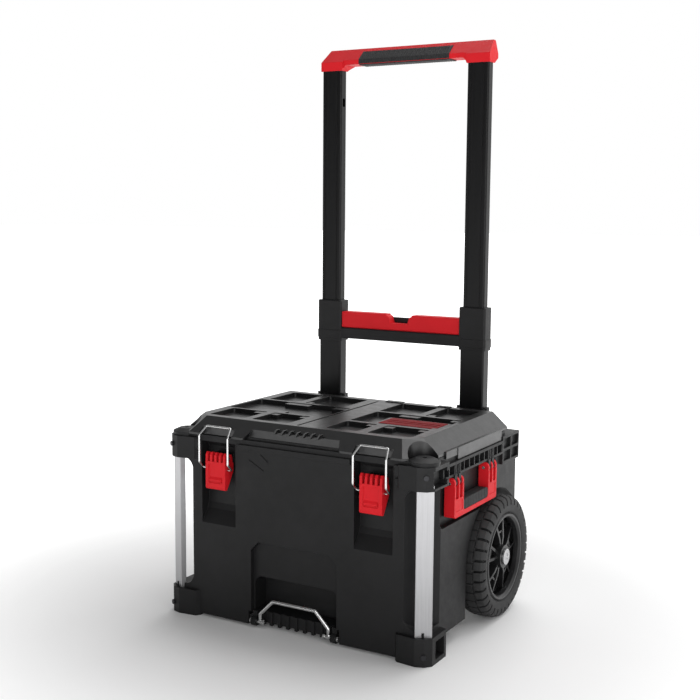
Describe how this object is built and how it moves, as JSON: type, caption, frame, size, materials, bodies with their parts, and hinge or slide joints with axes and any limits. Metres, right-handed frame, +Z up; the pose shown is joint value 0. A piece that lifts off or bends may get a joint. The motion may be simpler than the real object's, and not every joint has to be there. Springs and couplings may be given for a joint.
{
  "type": "rolling tool box",
  "caption": "Wheeled hard tool box with hinged lid, draw latches, folding side handles, corner bars and a telescoping pull handle.",
  "frame": {"origin": "centre of the footprint at floor level", "axes": "+X to the box's right seen from the front, -Y towards the front with the latches, +Z up"},
  "size_m": [0.576, 0.4558, 1.0905],
  "materials": {
    "body_black": "fine moulded grain, low sheen",
    "lid_black": "fine moulded grain, worn rib tops",
    "red_plastic": "satin moulding",
    "strip_red": "satin inlay",
    "gasket_rubber": "soft rubber",
    "grip_rubber": "ribbed soft grip",
    "tyre_rubber": "moulded tread",
    "rim_black": "moulded wheel",
    "corner_alu": "extruded, satin",
    "tube_black": "black anodised tube",
    "wire_steel": "bright bent wire",
    "steel": "plated steel",
    "screw_black": "blackened screws",
    "nylon_grey": "glass-filled nylon",
    "tray_black": "moulded tray"
  },
  "bodies": {
    "base": {"tub": "body_black", "corner_bar_right": "corner_alu", "corner_bar_left": "corner_alu", "corner_bar_screws": "screw_black", "hinge_pins": "steel", "tray": "tray_black", "latch_pins": "steel", "side_handle_pins": "steel", "axle": "steel", "axle_caps": "steel", "axle_spacers": "nylon_grey", "outer_tube_right": "tube_black", "outer_tube_left": "tube_black", "outer_tube_plugs": "nylon_grey", "collar_bushings": "nylon_grey", "tube_bracket_upper_right": "body_black", "tube_bracket_upper_left": "body_black", "tube_bracket_lower_right": "body_black", "tube_bracket_lower_left": "body_black", "bracket_screws": "screw_black", "crossbar_front": "body_black", "crossbar_rear": "body_black", "crossbar_screws": "screw_black"},
    "lid": {"lid": "lid_black", "lid_gasket": "gasket_rubber", "lid_strip": "strip_red"},
    "latch_right": {"latch_lever_right": "red_plastic"},
    "latch_left": {"latch_lever_left": "red_plastic"},
    "bail_right": {"latch_bail_right": "wire_steel"},
    "bail_left": {"latch_bail_left": "wire_steel"},
    "carry_right": {"side_handle_right": "red_plastic", "side_grip_right": "grip_rubber"},
    "carry_left": {"side_handle_left": "red_plastic", "side_grip_left": "grip_rubber"},
    "loop": {"front_loop": "wire_steel"},
    "wheel_right": {"wheel_tyre_right": "tyre_rubber", "wheel_rim_right": "rim_black", "wheel_bush_right": "nylon_grey"},
    "wheel_left": {"wheel_tyre_left": "tyre_rubber", "wheel_rim_left": "rim_black", "wheel_bush_left": "nylon_grey"},
    "pull_handle": {"inner_tube_right": "tube_black", "inner_tube_left": "tube_black", "inner_tube_guides": "nylon_grey", "top_handle_front": "red_plastic", "top_handle_rear": "red_plastic", "top_handle_screws": "screw_black", "top_grip": "grip_rubber"},
    "release": {"release_bar": "red_plastic"},
    "bolt_right": {"lock_bolt_right": "steel"},
    "bolt_left": {"lock_bolt_left": "steel"}
  },
  "joints": [
    {"name": "lid_hinge", "type": "hinge", "parent": "base", "child": "lid", "pos_m": [0, 0.137, 0.347], "axis": [-1, 0, 0], "range_deg": [0, 92]},
    {"name": "latch_right_lever", "type": "hinge", "parent": "base", "child": "latch_right", "pos_m": [0.163, -0.205, 0.309], "axis": [-1, 0, 0], "range_deg": [0, 100]},
    {"name": "latch_left_lever", "type": "hinge", "parent": "base", "child": "latch_left", "pos_m": [-0.163, -0.205, 0.309], "axis": [-1, 0, 0], "range_deg": [0, 100]},
    {"name": "latch_right_bail", "type": "hinge", "parent": "latch_right", "child": "bail_right", "pos_m": [0.163, -0.213, 0.289], "axis": [-1, 0, 0], "range_deg": [-151, 1]},
    {"name": "latch_left_bail", "type": "hinge", "parent": "latch_left", "child": "bail_left", "pos_m": [-0.163, -0.213, 0.289], "axis": [-1, 0, 0], "range_deg": [-151, 1]},
    {"name": "carry_right_swing", "type": "hinge", "parent": "base", "child": "carry_right", "pos_m": [0.262, -0.027, 0.296], "axis": [0, -1, 0], "range_deg": [0, 90]},
    {"name": "carry_left_swing", "type": "hinge", "parent": "base", "child": "carry_left", "pos_m": [-0.262, -0.027, 0.296], "axis": [0, 1, 0], "range_deg": [0, 90]},
    {"name": "front_loop_swing", "type": "hinge", "parent": "base", "child": "loop", "pos_m": [0, -0.206, 0.012], "axis": [1, 0, 0], "range_deg": [0, 95]},
    {"name": "wheel_right_spin", "type": "hinge", "parent": "base", "child": "wheel_right", "pos_m": [0.259, 0.087, 0.116], "axis": [1, 0, 0], "continuous": true},
    {"name": "wheel_left_spin", "type": "hinge", "parent": "base", "child": "wheel_left", "pos_m": [-0.259, 0.087, 0.116], "axis": [1, 0, 0], "continuous": true},
    {"name": "pull_handle_slide", "type": "slide", "parent": "base", "child": "pull_handle", "axis": [0, 0, 1], "range_m": [-0.452, 0]},
    {"name": "release_press", "type": "slide", "parent": "base", "child": "release", "axis": [0, 0, 1], "range_m": [-0.006, 0]},
    {"name": "bolt_right_draw", "type": "slide", "parent": "base", "child": "bolt_right", "axis": [1, 0, 0], "range_m": [-0.0061, 0.0001]},
    {"name": "bolt_left_draw", "type": "slide", "parent": "base", "child": "bolt_left", "axis": [-1, 0, 0], "range_m": [-0.0061, 0.0001]}
  ],
  "couplings": [
    {"joint": "latch_right_bail", "follows": "latch_right_lever", "ratio": -1.5},
    {"joint": "latch_left_bail", "follows": "latch_left_lever", "ratio": -1.5},
    {"joint": "bolt_right_draw", "follows": "release_press", "ratio": 1},
    {"joint": "bolt_left_draw", "follows": "release_press", "ratio": 1}
  ]
}
